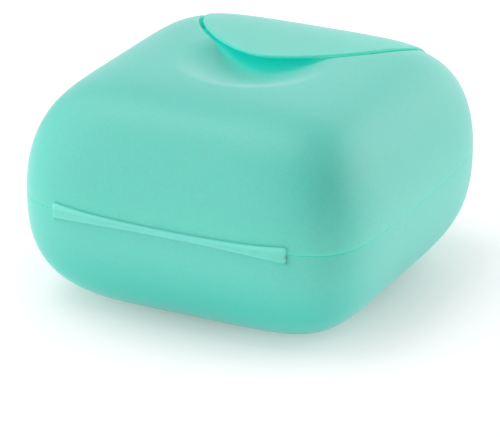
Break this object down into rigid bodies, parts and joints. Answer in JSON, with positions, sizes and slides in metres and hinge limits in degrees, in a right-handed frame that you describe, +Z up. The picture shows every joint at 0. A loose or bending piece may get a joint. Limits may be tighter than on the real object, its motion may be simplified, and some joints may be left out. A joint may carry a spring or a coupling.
{
  "type": "travel soap box",
  "caption": "Pillow-shaped travel soap box: base and lid joined by a waisted flexible strap, half-moon clasp over the lid, seal ring and lift-out drain tray.",
  "frame": {"origin": "middle of the flat foot, on the surface that the box stands on", "axes": "+X along the hinge, +Y from the hinge side to the clasp side, +Z up"},
  "size_m": [0.1, 0.1041, 0.0616],
  "materials": {
    "mint_plastic": "fine satin moulding texture, mint green",
    "silicone": "milky soft silicone",
    "tray_plastic": "satin white moulding"
  },
  "bodies": {
    "base": {"base_shell": "mint_plastic", "hinge_strap_base": "mint_plastic", "clasp_hinge_base": "mint_plastic"},
    "lid": {"lid_shell": "mint_plastic", "hinge_strap_lid": "mint_plastic", "seal_ring": "silicone"},
    "clasp": {"clasp": "mint_plastic", "clasp_hinge_clasp": "mint_plastic"},
    "tray": {"drain_tray": "tray_plastic"}
  },
  "joints": [
    {"name": "lid_hinge", "type": "hinge", "parent": "base", "child": "lid", "pos_m": [0, -0.0514, 0.0295], "axis": [1, 0, 0], "range_deg": [0, 95]},
    {"name": "clasp_hinge", "type": "hinge", "parent": "base", "child": "clasp", "pos_m": [0, 0.0527, 0.0295], "axis": [-1, 0, 0], "range_deg": [0, 171]},
    {"name": "tray_lift", "type": "slide", "parent": "base", "child": "tray", "axis": [0, 0, 1], "range_m": [0, 0.03]}
  ],
  "couplings": [
    {"joint": "clasp_hinge", "follows": "lid_hinge", "ratio": 1.8}
  ]
}
